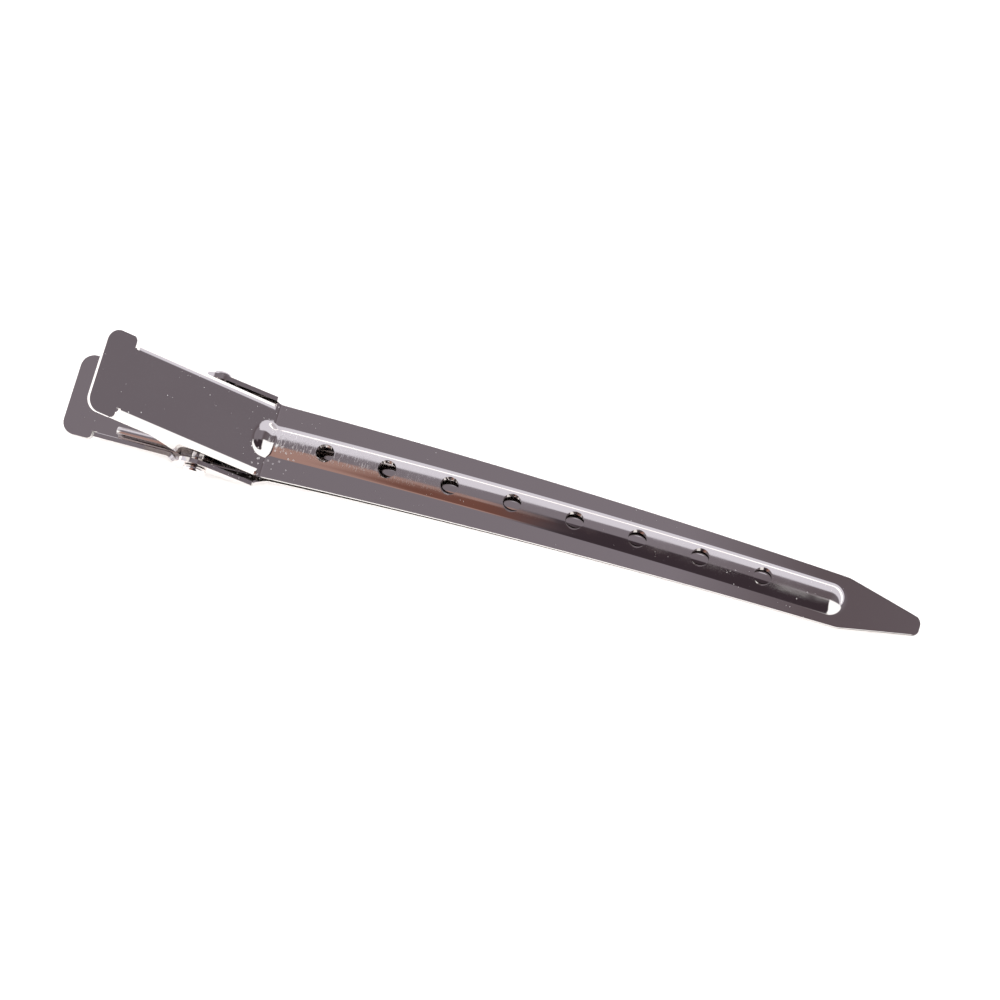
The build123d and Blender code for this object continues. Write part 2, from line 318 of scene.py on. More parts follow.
def jawSurface(jaw):
    rise = math.radians(jaw["rise"])
    lobe = pinInHandle(jaw, rise)
    up = np.array([math.sin(rise), 0, math.cos(rise)])
    # where the handle's outer side starts
    startX, startZ = sheet * math.sin(rise), sideView["rootGap"] / 2 + sheet * math.cos(rise)
    section, ribFront = jaw["rib"], jaw["ribFront"]
    footEnd = section["footEnd"]

    def onHandle(s):
        return -s * math.cos(rise) + startX

    def height(x, y):
        flat = jaw["side"] * arcHeight(jaw["side"], x, jaw["side"] * sheet)
        handle = startZ - (x - startX) * math.tan(rise)
        if jaw["side"] > 0:
            raised = ribHeight(section, x, y, ribFront)
            depth, place, width = jaw["pinch"]
            pinched = raised * (1 - depth * np.exp(-(((x - place) / width) ** 2)))
            s, radius, sink = jaw["dome"]
            domeX = onHandle(s) - sink * math.sin(rise)
            domeZ = startZ + s * math.sin(rise) - sink * math.cos(rise)
            within = radius**2 - (x - domeX) ** 2 - y**2
            dome = np.where(within > 0, domeZ + np.sqrt(np.maximum(within, 0)), farBelow)
            bent = softMax(flat, handle, jaw["crease"])
            return softMax(softMax(bent, flat + pinched, jaw["ribCrease"]), dome, jaw["domeCrease"])
        gone, whole = jaw["ribRunOut"]
        drop = section["height"] * (np.maximum(whole - x, 0) / (whole - gone)) ** 2
        bent = -softMax(-flat, -handle, jaw["crease"])
        return np.where(x > jaw["flareEnd"], flat, bent) - ribHeight(section, x, y, ribFront, drop)

    def lifted(x, y):
        return np.stack([x, y, height(x, y)], axis=-1)

    # rows along the clip, each with the half width of its flat strip and of its whole sheet
    corner = np.radians(np.linspace(90, 0, drawn["tabCorner"] + 1))
    outer = thumbTab["outerCorner"]
    inner = thumbTab["innerCorner"]
    headS = sideView["handleLength"] - outer + outer * np.sin(corner)
    headHalf = thumbTab["half"] - outer + outer * np.cos(corner)
    innerS = tabBack + inner - inner * np.sin(corner[::-1])
    innerHalf = thumbTab["half"] - inner + inner * np.cos(corner[::-1])
    tabS = np.concatenate([headS, thumbTab["rows"], innerS])
    tabHalf = np.concatenate([headHalf, [thumbTab["half"]] * len(thumbTab["rows"]), innerHalf])
    narrowed = smoothStep(thumbTab["rows"][-1], sideView["handleLength"], tabS)
    tabStrip = jaw["stripHalf"] + (footEnd + thumbTab["stripMargin"] - jaw["stripHalf"]) * narrowed
    notchS = np.array([tabBack, channelEnd])
    handleS = np.array(stepped((channelEnd, drawn["channelStep"]), *jaw["handleSteps"], jaw["flangeFront"]))
    firstStep = (onHandle(jaw["flangeFront"]), jaw["bladeStep"])
    if jaw["side"] > 0:
        pitch = (jaw["ribEnd"] - jaw["lastHoleToRibEnd"] - jaw["firstHole"]) / (jaw["holes"] - 1)
        cell = pitch / jaw["pitchCells"]
        holeX = jaw["firstHole"] + pitch * np.arange(jaw["holes"])
        firstX = holeX[0] - jaw["leadCells"] * cell
        bladeX = stepped(firstStep, (firstX, cell), (holeX[-1], jaw["frontStep"]), ribFront)
    else:
        bladeX = stepped(firstStep, *jaw["bladeSteps"], ribFront)
    bladeX = np.array(bladeX)
    strip = np.full(len(handleS), jaw["stripHalf"])
    edge = edgeHalf(bladeX)
    if jaw["side"] < 0:
        narrow = smoothStep(*jaw["earEase"], handleS)
        strip = jaw["earStripHalf"] + (jaw["stripHalf"] - jaw["earStripHalf"]) * narrow
        flare = np.clip((jaw["flareEnd"] - bladeX) / (jaw["flareEnd"] - bladeX[0]), 0, 1)
        edge = edge + (jaw["flareHalf"] - blade["rootHalf"]) * flare ** jaw["flareCurve"]
    share = (strip[-1] - footEnd) / (edge[0] - footEnd)
    bladeStrip = footEnd + share * (edge - footEnd)

    rowX = np.concatenate([onHandle(tabS), onHandle(notchS[1:]), onHandle(handleS[1:]), bladeX[1:]])
    rowStrip = np.concatenate([tabStrip, strip[:1], strip[1:], bladeStrip[1:]])
    tabRows = len(tabS)
    channelRow = tabRows
    wingRow = channelRow + len(handleS) - 1

    beyondRib = np.linspace(0, 1, drawn["besideRib"] + 1)[1:]
    half = np.concatenate(
        [
            np.repeat(section["columns"][None], len(rowX), axis=0),
            footEnd + beyondRib[None] * (rowStrip[:, None] - footEnd),
        ],
        axis=1,
    )
    y = np.concatenate([-half[:, :0:-1], half], axis=1)
    x = np.repeat(rowX[:, None], y.shape[1], axis=1)
    keep = np.ones((x.shape[0] - 1, x.shape[1] - 1), bool)
    if jaw["side"] > 0:
        openHoles(jaw, x, y, keep, holeX, cell)
    net = {"points": [], "faces": []}
    addGrid(net, lifted(x, y), keep)

    outward = np.linspace(0, 1, drawn["margin"] + 1)
    for way in (1, -1):
        # the tab's and the blade's margins beyond the strip
        for rows, widths in ((slice(0, tabRows), tabHalf), (slice(wingRow, None), edge)):
            margin = rowStrip[rows][:, None] + outward[None] * (widths - rowStrip[rows])[:, None]
            addGrid(net, lifted(np.repeat(rowX[rows][:, None], len(outward), axis=1), way * margin))

        # the folded side: a quarter bend, then a wall down to the outline of the flange and its ear
        edgePoints = lifted(rowX[channelRow:wingRow + 1], way * rowStrip[channelRow:wingRow + 1])
        turn = np.radians(np.linspace(0, 90, drawn["bend"] + 1))
        bend = sideView["bendRadius"]
        down = np.linspace(0, 1, drawn["wall"] + 1)[1:]
        outY = np.concatenate([bend * np.sin(turn), np.full(len(down), bend)])
        low = np.minimum(flangeOutline(jaw, lobe, handleS), sheet - bend - leastWall)
        drop = np.concatenate(
            [
                np.repeat((bend * (1 - np.cos(turn)))[None], len(handleS), axis=0),
                bend + down[None] * (sheet - bend - low)[:, None],
            ],
            axis=1,
        )
        wall = edgePoints[:, None] + way * outY[None, :, None] * np.array([0, 1, 0]) - drop[..., None] * up
        addGrid(net, wall)

    # fan round the rib's front end and out to the point
    outline = pointOutline(ribFront)
    outline = np.concatenate([outline, outline[-2::-1] * (1, -1)])
    swing = np.linspace(math.pi / 2, -math.pi / 2, len(outline))
    ring = np.stack([np.cos(swing), np.sin(swing)], axis=-1)
    centre = np.array([ribFront, 0])
    inner = centre + section["columns"][None, :, None] * ring[:, None]
    split = np.concatenate([share * beyondRib, share + (1 - share) * outward[1:]])
    rim = inner[:, -1]
    fan = np.concatenate([inner, rim[:, None] + split[None, :, None] * (outline - rim)[:, None]], axis=1)
    addGrid(net, lifted(fan[..., 0], fan[..., 1]))

    points = np.array(net["points"])
    points[:, 2] *= jaw["side"]
    net["points"] = points.tolist()
    return net


def pinInHandle(jaw, rise):
    # the pin's place along the handle and above its facing side
    x, z = pinX, jaw["side"] * pinZ - sideView["rootGap"] / 2
    return -x * math.cos(rise) + z * math.sin(rise), x * math.sin(rise) + z * math.cos(rise)


def flangeOutline(jaw, lobe, s):
    front = (jaw["flangeFront"], jaw["earFront"])
    rear = (jaw["earRear"], jaw["flangeLow"])
    radius = jaw["earRadius"]
    frontTouch = tangentPoint(front, lobe, radius, -1)
    rearTouch = tangentPoint(rear, lobe, radius, 1)
    under = lobe[1] - np.sqrt(np.maximum(radius**2 - (s - lobe[0]) ** 2, 0))
    low = np.where(s < frontTouch[0], np.interp(s, *zip(front, frontTouch)), under)
    low = np.where(s > rearTouch[0], np.interp(s, *zip(rearTouch, rear)), low)
    return np.where(s > rear[0], jaw["flangeLow"], low)


def openHoles(jaw, x, y, keep, holeX, cell):
    # Round each hole the grid's squares are drawn in to circles, and the cells within the hole are left out.
    middle = x.shape[1] // 2
    spread, ring = jaw["spreadCells"], jaw["holeCells"]
    section = jaw["rib"]
    for centre in holeX:
        row = int(np.argmin(np.abs(x[:, middle] - centre)))
        for i in range(-spread, spread + 1):
            for j in range(-spread, spread + 1):
                ringNo = max(abs(i), abs(j))
                if ringNo < ring:
                    continue
                u, v = i / ringNo, j / ringNo
                if abs(u) >= abs(v):
                    angle = math.pi / 4 * v / u + (math.pi if u < 0 else 0)
                else:
                    angle = math.pi / 2 - math.pi / 4 * u / v + (math.pi if v < 0 else 0)
                t = (ringNo - ring) / (spread - ring)
                farX = spread * cell * u
                farTurn = section["turn"] / drawn["ribCap"] * spread * abs(v)
                farY = math.copysign(section["radius"] * math.sin(farTurn), v)
                x[row + i, middle + j] = centre + (1 - t) * jaw["holeRadius"] * math.cos(angle) + t * farX
                y[row + i, middle + j] = (1 - t) * jaw["holeRadius"] * math.sin(angle) + t * farY
        keep[row - ring:row + ring, middle - ring:middle + ring] = False


def newPiece(name, net, merge=0.002):
    mesh = bpy.data.meshes.new(name)
    mesh.from_pydata(net["points"], [], net["faces"])
    shape = bmesh.new()
    shape.from_mesh(mesh)
    bmesh.ops.remove_doubles(shape, verts=shape.verts, dist=merge)
    bmesh.ops.dissolve_degenerate(shape, edges=shape.edges, dist=merge / 4)
    loose = [v for v in shape.verts if not v.link_faces]
    bmesh.ops.delete(shape, geom=loose, context="VERTS")
    bmesh.ops.recalc_face_normals(shape, faces=shape.faces)
    shape.to_mesh(mesh)
    shape.free()
    mesh.shade_smooth()
    piece = bpy.data.objects.new(name, mesh)
    bpy.context.scene.collection.objects.link(piece)
    return piece


def settle(piece):
    # the modifiers' result becomes the mesh itself
    seen = piece.evaluated_get(bpy.context.evaluated_depsgraph_get())
    mesh = bpy.data.meshes.new_from_object(seen)
    piece.modifiers.clear()
    piece.data = mesh


def boreCutter(radius):
    ring = np.linspace(0, 2 * math.pi, drawn["bore"] + 1)[:-1]
    cutter = bmesh.new()
    ends = [
        [cutter.verts.new((pinX + radius * math.cos(a), y, pinZ + radius * math.sin(a))) for a in ring]
        for y in (-boreReach, boreReach)
    ]
    for i in range(drawn["bore"]):
        j = (i + 1) % drawn["bore"]
        cutter.faces.new((ends[0][i], ends[0][j], ends[1][j], ends[1][i]))
    cutter.faces.new(ends[0][::-1])
    cutter.faces.new(ends[1])
    mesh = bpy.data.meshes.new("bore")
    bmesh.ops.recalc_face_normals(cutter, faces=cutter.faces)
    cutter.to_mesh(mesh)
    cutter.free()
    piece = bpy.data.objects.new("bore", mesh)
    bpy.context.scene.collection.objects.link(piece)
    return piece


def softenEdges(piece, width):
    soft = piece.modifiers.new("soft edges", "BEVEL")
    soft.width = width
    soft.segments = 2
    soft.limit_method = "ANGLE"
    soft.angle_limit = math.radians(50)


def makeJaw(name, jaw):
    piece = newPiece(name, jawSurface(jaw))
    highest = max(piece.data.polygons, key=lambda face: jaw["side"] * face.center.z)
    if highest.normal.z * jaw["side"] < 0:
        piece.data.flip_normals()
    solid = piece.modifiers.new("sheet", "SOLIDIFY")
    solid.thickness = sheet
    solid.offset = -1
    solid.use_even_offset = True
    solid.use_quality_normals = True
    cutter = boreCutter(jaw["bore"])
    bore = piece.modifiers.new("bore", "BOOLEAN")
    bore.object = cutter
    bore.operation = "DIFFERENCE"
    bore.solver = "EXACT"
    softenEdges(piece, sideView["shearedEdge"])
    weighted = piece.modifiers.new("shading", "WEIGHTED_NORMAL")
    weighted.keep_sharp = False
    settle(piece)
    bpy.data.objects.remove(cutter)
    markWearAndShade(piece, jaw)
    piece.data.transform(toRest)
    print(name, len(piece.data.polygons), "faces")
    return piece


def markWearAndShade(piece, jaw):
    # Where the sheet was rubbed (the rib's crown), where the press bit it (either side of the crease), where
    # the rib was scuffed, and the upper jaw's faces that look down: painted shade darkens them, and added
    # roughness stands for their thin, unpolished plating.
    flatSpot = np.empty(3 * len(piece.data.vertices))
    piece.data.vertices.foreach_get("co", flatSpot)
    x, y, z = flatSpot.reshape(-1, 3).T
    inBlade = np.clip(x, 0, bladeLength)
    lift = jaw["side"] * (z - arcHeight(jaw["side"], inBlade, jaw["side"] * sheet))
    rubbed = smoothStep(*wearAndShade["rubbedLift"], lift) * (x > 0)
    pressed = np.exp(-((x / wearAndShade["pressReach"]) ** 2))
    scuffed = rubbed * np.exp(-(((x - wearAndShade["scuffMiddle"]) / wearAndShade["scuffReach"]) ** 2))
    # the upper jaw's faces that look down: painted shade in the colour, and more roughness
    facing = np.empty(3 * len(piece.data.vertices))
    piece.data.vertices.foreach_get("normal", facing)
    shadedUnderside = smoothStep(*wearAndShade["insideTurn"], -facing[2::3]) * (jaw["side"] > 0)
    for name, values in (("rubbed", rubbed), ("pressed", pressed), ("scuffed", scuffed), ("shadedUnderside", shadedUnderside)):
        mark = piece.data.attributes.new(name, "FLOAT", "POINT")
        mark.data.foreach_set("value", values.astype(np.float32))


wearAndShade = {
    "pressReach": 3.2,  # mm from the crease
    "scuffMiddle": 3.0,  # the hair's rubbing, just in front of the crease
    "scuffReach": 12.0,
    "rubbedLift": (0.28, 0.68),  # mm above the flat sheet
    "insideTurn": (-0.1, 0.4),  # how far a face looks down
}

upperSheet = makeJaw("upper_jaw_sheet", upperJaw)
lowerSheet = makeJaw("lower_jaw_sheet", lowerJaw)

pivot = {
    "radius": 0.7,
    "seat": 4.9,  # from the middle plane to under the head
    "headRadius": 1.2,
    "headTop": 5.55,
    "dimple": ((0.0, 0.1), (0.2, 0.09), (0.4, 0.03), (0.52, 0.0)),  # out from the axis, and depth
    "shoulder": (0.5, 0.42),  # the head's rounding, inward and down
    "shoulderTurn": 1.45,  # of a quarter turn's 1.57
    "shoulderRings": 8,
    "rim": ((0.0, 0.16), (0.02, 0.05), (0.07, 0.0)),  # in from the head's edge, and up from its seat
    "neck": 0.03,
    "shankRings": (3.6, 1.8, 0.0),
    "softEdge": 0.02,
    "segments": 64,
}


def makePin():
    shank, seat, head, top = pivot["radius"], pivot["seat"], pivot["headRadius"], pivot["headTop"]
    # half the pin's section, from the middle of its head to the middle of its length
    inward, down = pivot["shoulder"]
    turns = np.linspace(0, pivot["shoulderTurn"], pivot["shoulderRings"] + 1)[1:]
    section = [(out, top - deep) for out, deep in pivot["dimple"]]
    section += [(head - inward + inward * math.sin(a), top - down + down * math.cos(a)) for a in turns]
    section += [(head - back, seat + up) for back, up in pivot["rim"]]
    section += [(shank + pivot["neck"], seat), (shank, seat - pivot["neck"])]
    section += [(shank, y) for y in pivot["shankRings"]]
    half = np.array(section)
    whole = np.concatenate([half, (half * (1, -1))[-2::-1]])
    turn = np.linspace(0, 2 * math.pi, pivot["segments"] + 1)
    points = np.stack(
        [
            pinX + whole[:, None, 0] * np.cos(turn)[None],
            np.repeat(whole[:, 1][:, None], len(turn), axis=1),
            pinZ + whole[:, None, 0] * np.sin(turn)[None],
        ],
        axis=-1,
    )
    net = {"points": [], "faces": []}
    addGrid(net, points)
    piece = newPiece("hinge_pin", net)
    softenEdges(piece, pivot["softEdge"])
    settle(piece)
    piece.data.transform(toRest)
    return piece


hingePin = makePin()

coil = {
    "wire": 0.9,
    "radius": 1.35,  # to the wire's middle
    "nearY": -2.85,  # the wire's middle at the near leg
    "turns": 5.351,
    "lowerLean": 8.797,  # each leg against the chord, degrees
    "upperLean": 44.741,
    "lowerLeg": 9.41,
    "upperLeg": 10.12,
    "easeTurns": 0.22,  # the winding takes this share of a turn to run in to each straight leg
    "sides": 20,
    "ringsPerTurn": 44,
    "legRings": 13,
    "edge": 0.08,
    "edgeMiddle": 0.3,  # share of the edge where its middle ring lies
    "blendReach": 2.3,  # each way from the middle of the coil
}


def springLine():
    first = math.radians(coil["lowerLean"]) - math.pi / 2
    full = coil["turns"] * 2 * math.pi
    ease = coil["easeTurns"] * 2 * math.pi
    a = np.linspace(0, full, int(coil["turns"] * coil["ringsPerTurn"]))
    # the winding's sideways speed rises from nothing at one leg and falls to nothing at the other
    speed = smoothStep(0, ease, a) * smoothStep(0, ease, full - a)
    climb = np.concatenate([[0], np.cumsum((speed[1:] + speed[:-1]) / 2 * np.diff(a))])
    climb = coil["nearY"] - 2 * coil["nearY"] * climb / climb[-1]
    out = coil["radius"]
    turns = np.stack([pinX + out * np.cos(first + a), climb, pinZ + out * np.sin(first + a)], axis=-1)
    lowerLean, upperLean = math.radians(coil["lowerLean"]), math.radians(coil["upperLean"])
    lowerWay = np.array([-math.cos(lowerLean), 0, -math.sin(lowerLean)])
    upperWay = np.array([-math.cos(upperLean), 0, math.sin(upperLean)])
    steps = np.linspace(1, 0, coil["legRings"] + 1)[:-1]
    lowerLeg = turns[0] + coil["lowerLeg"] * steps[:, None] * lowerWay
    upperLeg = turns[-1] + coil["upperLeg"] * steps[::-1, None] * upperWay
    return np.concatenate([lowerLeg, turns, upperLeg])


def makeSpring():
    line = springLine()
    ways = np.gradient(line, axis=0)
    ways /= np.linalg.norm(ways, axis=1)[:, None]
    across = np.cross(ways, (0, 1, 0))
    across /= np.linalg.norm(across, axis=1)[:, None]
    over = np.cross(ways, across)
    radius = coil["wire"] / 2
    # cut ends: the last rings draw in over a small rounded edge, and close on the axis
    edge, middle = coil["edge"], coil["edge"] * coil["edgeMiddle"]
    capRings = [(0.0, 0.0), (0.0, radius - edge), (middle, radius - middle), (edge, radius)]
    head = [(line[0] + back * ways[0], r, 0) for back, r in capRings]
    tail = [(line[-1] - back * ways[-1], r, -1) for back, r in capRings[::-1]]
    rings = head + [(line[i], radius, i) for i in range(1, len(line) - 1)] + tail
    turn = np.linspace(0, 2 * math.pi, coil["sides"] + 1)
    cosine, sine = np.cos(turn)[:, None], np.sin(turn)[:, None]
    points = np.array([place + r * (cosine * across[i] + sine * over[i]) for place, r, i in rings])
    net = {"points": [], "faces": []}
    addGrid(net, points)
    piece = newPiece("spring_coil", net)
    piece.data.transform(toRest)
    return piece


springCoil = makeSpring()
print("pieces made")


def linear(hexColour):
    parts = [int(hexColour[i:i + 2], 16) / 255 for i in (0, 2, 4)]
    return [c / 12.92 if c <= 0.04045 else ((c + 0.055) / 1.055) ** 2.4 for c in parts] + [1.0]


def addNode(tree, kind, settings):
    node = tree.nodes.new("ShaderNode" + kind)
    for key, value in settings.items():
        if isinstance(key, str) and key not in node.inputs:
            setattr(node, key, value)
        elif isinstance(value, bpy.types.NodeSocket):
            tree.links.new(value, node.inputs[key])
        else:
            node.inputs[key].default_value = value
    return node


def newMaterial(name):
    material = bpy.data.materials.new(name)
    material.use_nodes = True
    material.node_tree.nodes.clear()
    return material, material.node_tree


# Bright nickel plate over stamped and polished steel strip. To the eye it is a warm mirror, a little wavy,
# with dust and fine rub marks. Sizes are in millimetres. A span is the part of a pattern's values that its
# effect runs over. The dust, the scratches and the press's grain are finer on the real clip than a render
# can show, so they are drawn coarser.
nickel = {
    "colour": "DEDAD8",
    "undersideShadeColour": "857D7A",  # painted shade, darkening the upper jaw's faces that look down
    "insideRoughness": 0.3,  # added there, for the thin unpolished plating
    "roughness": (0.035, 0.09),
    "cloudSize": 5.0,  # patches of slightly different polish
    "cloudSpan": (0.3, 0.7),
    "crownSpan": (0.35, 0.65),
    "crownRoughness": (0.04, 0.16),  # added where the rib's crown was rubbed
    "waveSize": 7.0,  # left by stamping
    "waveHeight": 0.006,
    "rubWidth": 0.12,  # marks along the clip
    "rubLength": 9.0,
    "rubSpan": (0.62, 0.78),
    "rubRoughness": 0.06,
    "speckSpacing": 0.55,  # dust
    "speckPatch": 4.0,
    "speckSpan": (0.45, 0.7),
    "speckSize": 0.13,  # share of the spacing
    "pressedSpeckSize": 0.12,  # added at the crease
    "speckColour": "F2F0EE",
    "markRoughness": 0.45,  # added in dust and scratches
    "scuffWidth": 0.1,  # fine scratches across the rib
    "scuffLength": 0.7,
    "scuffSpan": (0.52, 0.66),
    "grainSize": 0.22,  # left by the press at the crease
    "grainHeight": 0.004,
    "grainElsewhere": 0.04,  # share of the grain away from the crease
}


def nickelPlate(name, facts):
    material, tree = newMaterial(name)
    place = addNode(tree, "TexCoord", {}).outputs["Object"]
    rubbed, pressed, scuffed, shadedUnderside = (
        addNode(tree, "Attribute", {"attribute_name": kind}).outputs["Fac"]
        for kind in ("rubbed", "pressed", "scuffed", "shadedUnderside")
    )

    # polish: cloudy, with long rub marks, and duller on the rib's crown
    cloud = addNode(tree, "TexNoise", {
        "Vector": place, "Scale": 1 / (facts["cloudSize"] * mm), "Detail": 3.0,
    })
    polish = addNode(tree, "MapRange", {
        "Value": cloud.outputs[0],
        "From Min": facts["cloudSpan"][0], "From Max": facts["cloudSpan"][1],
        "To Min": facts["roughness"][0], "To Max": facts["roughness"][1],
    })
    alongRub, acrossRub = 1 / (facts["rubLength"] * mm), 1 / (facts["rubWidth"] * mm)
    rubPlace = addNode(tree, "Mapping", {"Vector": place, "Scale": (alongRub, acrossRub, acrossRub)})
    rub = addNode(tree, "TexNoise", {"Vector": rubPlace.outputs[0], "Scale": 1.0, "Detail": 2.0})
    rub = addNode(tree, "MapRange", {
        "Value": rub.outputs[0],
        "From Min": facts["rubSpan"][0], "From Max": facts["rubSpan"][1],
        "To Max": facts["rubRoughness"],
    })
    crown = addNode(tree, "MapRange", {
        "Value": cloud.outputs[0],
        "From Min": facts["crownSpan"][0], "From Max": facts["crownSpan"][1],
        "To Min": facts["crownRoughness"][0], "To Max": facts["crownRoughness"][1],
    })
    crown = addNode(tree, "Math", {"operation": "MULTIPLY", 0: rubbed, 1: crown.outputs[0]})

    # dust in patches, more of it at the crease, and scratches across the rib
    specks = addNode(tree, "TexVoronoi", {"Vector": place, "Scale": 1 / (facts["speckSpacing"] * mm)})
    patches = addNode(tree, "TexNoise", {
        "Vector": place, "Scale": 1 / (facts["speckPatch"] * mm), "Detail": 1.0,
    })
    speckSize = addNode(tree, "MapRange", {
        "Value": patches.outputs[0],
        "From Min": facts["speckSpan"][0], "From Max": facts["speckSpan"][1],
        "To Max": facts["speckSize"],
    })
    speckSize = addNode(tree, "Math", {
        "operation": "MULTIPLY_ADD", 0: pressed, 1: facts["pressedSpeckSize"], 2: speckSize.outputs[0],
    })
    speck = addNode(tree, "Math", {
        "operation": "LESS_THAN", 0: specks.outputs["Distance"], 1: speckSize.outputs[0],
    })
    alongScuff, acrossScuff = 1 / (facts["scuffLength"] * mm), 1 / (facts["scuffWidth"] * mm)
    scratchPlace = addNode(tree, "Mapping", {
        "Vector": place, "Scale": (acrossScuff, alongScuff, alongScuff),
    })
    scratch = addNode(tree, "TexNoise", {"Vector": scratchPlace.outputs[0], "Scale": 1.0, "Detail": 3.0})
    scratch = addNode(tree, "MapRange", {
        "Value": scratch.outputs[0], "From Min": facts["scuffSpan"][0], "From Max": facts["scuffSpan"][1],
    })
    scratch = addNode(tree, "Math", {"operation": "MULTIPLY", 0: scratch.outputs[0], 1: scuffed})
    marks = addNode(tree, "Math", {"operation": "MAXIMUM", 0: speck.outputs[0], 1: scratch.outputs[0]})

    rough = addNode(tree, "Math", {"operation": "ADD", 0: polish.outputs[0], 1: rub.outputs[0]})
    rough = addNode(tree, "Math", {"operation": "ADD", 0: rough.outputs[0], 1: crown.outputs[0]})
    for where, more in ((marks.outputs[0], facts["markRoughness"]), (shadedUnderside, facts["insideRoughness"])):
        rough = addNode(tree, "Math", {"operation": "MULTIPLY_ADD", 0: where, 1: more, 2: rough.outputs[0]})
    # painted shade: the upper jaw's faces that look down take a darker colour
    colour = addNode(tree, "Mix", {
        "data_type": "RGBA", 0: shadedUnderside, 6: linear(facts["colour"]), 7: linear(facts["undersideShadeColour"]),
    })
    colour = addNode(tree, "Mix", {
        "data_type": "RGBA", 0: marks.outputs[0], 6: colour.outputs[2], 7: linear(facts["speckColour"]),
    })

    # the sheet's waviness, and the grain that the press left
    wave = addNode(tree, "TexNoise", {"Vector": place, "Scale": 1 / (facts["waveSize"] * mm), "Detail": 1.0})
    bump = addNode(tree, "Bump", {
        "Height": wave.outputs[0], "Distance": facts["waveHeight"] * mm, "Strength": 1.0,
    })
    grain = addNode(tree, "TexNoise", {
        "Vector": place, "Scale": 1 / (facts["grainSize"] * mm), "Detail": 2.0,
    })
    bitten = addNode(tree, "MapRange", {"Value": pressed, "To Min": facts["grainElsewhere"]})
    bump = addNode(tree, "Bump", {
        "Height": grain.outputs[0],
        "Distance": facts["grainHeight"] * mm,
        "Strength": bitten.outputs[0],
        "Normal": bump.outputs[0],
    })
    shader = addNode(tree, "BsdfPrincipled", {
        "Base Color": colour.outputs[2],
        "Metallic": 1.0,
        "Roughness": rough.outputs[0],
        "Normal": bump.outputs[0],
    })
    addNode(tree, "OutputMaterial", {"Surface": shader.outputs[0]})
    return material


pinFinish = {**nickel, "roughness": (0.06, 0.14), "waveSize": 1.5, "waveHeight": 0.01}
wireFinish = {**nickel, "roughness": (0.1, 0.2), "rubWidth": 0.05}
platedSheet = nickelPlate("bright nickel plated steel sheet, stamped", nickel)
platedPin = nickelPlate("nickel plated rivet, upset heads", pinFinish)
springWire = nickelPlate("nickel plated spring wire, drawn", wireFinish)

for piece, material, body, node, slot in (
    (upperSheet, platedSheet, "upper", "upper_jaw", "plated_sheet"),
    (lowerSheet, platedSheet, "lower", "lower_jaw", "plated_sheet"),
    (hingePin, platedPin, "lower", "pivot_pin", "plated_pin"),
    (springCoil, springWire, None, "torsion_spring", "spring_wire"),
):
    piece.data.materials.clear()
    piece.data.materials.append(material)
    if body:
        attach(piece, body)
    else:
        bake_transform(piece)
    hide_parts(node)
print("finishes and joints set")

studio = {
    "floorColour": "F4F3F1",
    "floorSize": 6.0,
    "floorRoughness": 0.85,
    "floorSpecular": 0.1,
    "fibreSize": 0.4,  # mm, card fibres, drawn coarser than they are
    "fibreHeight": 0.01,
    "fibreStrength": 0.3,
    "wall": "F1EEF8",  # pale walls low down, round the far and left sides
    "wallStrength": 1.02,
    # greys overhead, from left to right
    "ceiling": ((-0.6, "857D84"), (0.12, "8E868E"), (0.3, "6C6166"), (0.8, "7C747B")),
    "ceilingToward": (0.25, -0.45, 0.86),
    "ceilingEdge": (0.3, 0.42),
    "horizon": (0.03, 0.12),  # the ceiling fades in above the floor over this height
    # In front of the clip it is bright at both sides, with a warm patch and a dark one between. Each has its
    # colour, strength, span in x and nearest y, in the direction that is looked in.
    "patches": (
        ("FFFFFF", 1.5, (-2.0, -0.56), -0.1),
        ("FFFFFF", 1.5, (0.34, 2.0), -0.1),
        ("B8948A", 1.0, (-0.56, -0.1), -0.33),
        ("7E5449", 1.0, (-0.25, -0.06), -0.58),
        ("40363C", 1.0, (-0.08, 0.34), -0.2),
    ),
    "patchEdge": 0.06,
    "lampPower": 33.0,
    "lampSize": 1.6,
    "lampHeight": 1.2,
}


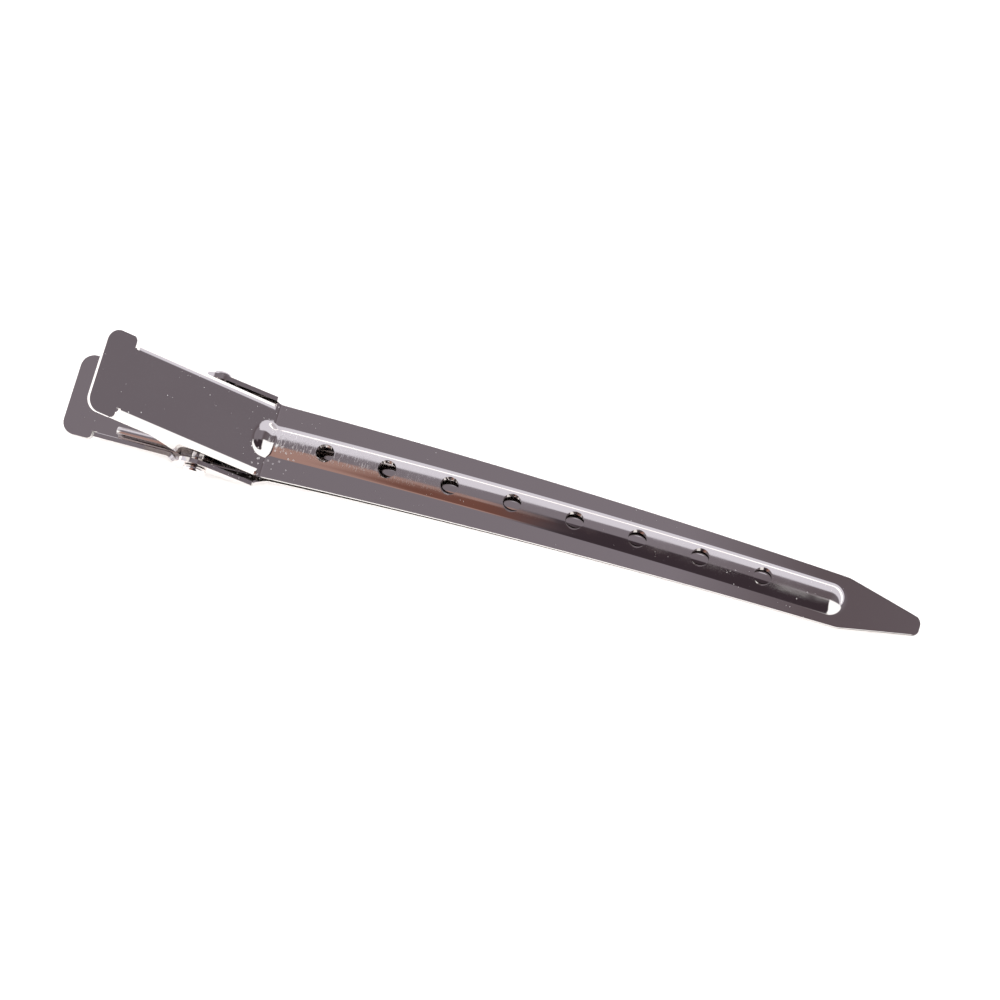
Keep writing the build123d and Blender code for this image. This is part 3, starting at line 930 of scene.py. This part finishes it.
def makeStudio():
    half = studio["floorSize"] / 2
    mesh = bpy.data.meshes.new("floor")
    corners = [(-half, -half, 0), (half, -half, 0), (half, half, 0), (-half, half, 0)]
    mesh.from_pydata(corners, [], [(0, 1, 2, 3)])
    floor = bpy.data.objects.new("floor", mesh)
    bpy.context.scene.collection.objects.link(floor)
    material, tree = newMaterial("matt white card")
    place = addNode(tree, "TexCoord", {}).outputs["Object"]
    fibre = addNode(tree, "TexNoise", {
        "Vector": place, "Scale": 1 / (studio["fibreSize"] * mm), "Detail": 2.0,
    })
    bump = addNode(tree, "Bump", {
        "Height": fibre.outputs[0],
        "Distance": studio["fibreHeight"] * mm,
        "Strength": studio["fibreStrength"],
    })
    shader = addNode(tree, "BsdfPrincipled", {
        "Base Color": linear(studio["floorColour"]),
        "Roughness": studio["floorRoughness"],
        "Specular IOR Level": studio["floorSpecular"],
        "Normal": bump.outputs[0],
    })
    addNode(tree, "OutputMaterial", {"Surface": shader.outputs[0]})
    mesh.materials.append(material)

    world = bpy.data.worlds.new("studio")
    world.use_nodes = True
    bpy.context.scene.world = world
    tree = world.node_tree
    tree.nodes.clear()
    way = addNode(tree, "TexCoord", {}).outputs["Generated"]
    toward = Vector(studio["ceilingToward"]).normalized()
    facing = addNode(tree, "VectorMath", {"operation": "DOT_PRODUCT", 0: way, 1: toward})
    parts = addNode(tree, "SeparateXYZ", {"Vector": way})
    overhead, aboveFloor = (
        addNode(tree, "MapRange", {
            "interpolation_type": "SMOOTHSTEP", "Value": value, "From Min": edge[0], "From Max": edge[1],
        })
        for value, edge in (
            (facing.outputs["Value"], studio["ceilingEdge"]),
            (parts.outputs["Z"], studio["horizon"]),
        )
    )
    grey = addNode(tree, "Math", {"operation": "MULTIPLY", 0: overhead.outputs[0], 1: aboveFloor.outputs[0]})
    across = addNode(tree, "MapRange", {"Value": parts.outputs["X"], "From Min": -1.0, "From Max": 1.0})
    ceiling = addNode(tree, "ValToRGB", {0: across.outputs[0]})
    stops = ceiling.color_ramp.elements
    for i, (x, tone) in enumerate(studio["ceiling"]):
        stop = stops[i] if i < 2 else stops.new(1.0)
        stop.position = (x + 1) / 2
        stop.color = linear(tone)
    wall = [c * studio["wallStrength"] for c in linear(studio["wall"])[:3]] + [1.0]
    colour = addNode(tree, "Mix", {"data_type": "RGBA", 0: grey.outputs[0], 6: wall, 7: ceiling.outputs[0]})
    softEdge = studio["patchEdge"]
    for tone, strength, (left, right), front in studio["patches"]:
        sides = []
        for axis, edge, soft in (("X", left, softEdge), ("X", right, -softEdge), ("Y", front, -softEdge)):
            sides.append(addNode(tree, "MapRange", {
                "interpolation_type": "SMOOTHSTEP",
                "Value": parts.outputs[axis],
                "From Min": edge - soft,
                "From Max": edge + soft,
            }))
        within = sides[0]
        for side in sides[1:]:
            within = addNode(tree, "Math", {
                "operation": "MULTIPLY", 0: side.outputs[0], 1: within.outputs[0],
            })
        glow = [c * strength for c in linear(tone)[:3]] + [1.0]
        colour = addNode(tree, "Mix", {
            "data_type": "RGBA", 0: within.outputs[0], 6: colour.outputs[2], 7: glow,
        })
    background = addNode(tree, "Background", {"Color": colour.outputs[2], "Strength": 1.0})
    addNode(tree, "OutputWorld", {"Surface": background.outputs[0]})

    # a large soft lamp brings the floor to white; the metal doesn't mirror it
    lamp = bpy.data.lights.new("soft lamp", "AREA")
    lamp.shape = "SQUARE"
    lamp.size = studio["lampSize"]
    lamp.energy = studio["lampPower"]
    holder = bpy.data.objects.new("soft lamp", lamp)
    holder.location = (0, 0, studio["lampHeight"])
    holder.visible_glossy = False
    bpy.context.scene.collection.objects.link(holder)


makeStudio()
bpy.context.scene.view_settings.view_transform = "Standard"

view = {
    "place": (45.85, -99.07, 501.68),  # mm
    "aim": (1.0, 0.0, 6.0),
    "right": (0.96181, 0.2737, 0.00253),
    "lens": 180.0,
    "sensor": 36.0,
    "nearest": 0.01,  # m
    "farthest": 50.0,
}


def makeCamera():
    camera = bpy.data.cameras.new("camera")
    camera.lens = view["lens"]
    camera.sensor_width = view["sensor"]
    camera.clip_start = view["nearest"]
    camera.clip_end = view["farthest"]
    holder = bpy.data.objects.new("camera", camera)
    place, aim = Vector(view["place"]) * mm, Vector(view["aim"]) * mm
    ahead = (aim - place).normalized()
    right = Vector(view["right"])
    right = (right - right.dot(ahead) * ahead).normalized()
    turn = Matrix((right, right.cross(ahead), -ahead)).transposed()
    holder.matrix_world = Matrix.Translation(place) @ turn.to_4x4()
    bpy.context.scene.collection.objects.link(holder)
    bpy.context.scene.camera = holder


makeCamera()
print("studio and camera set")
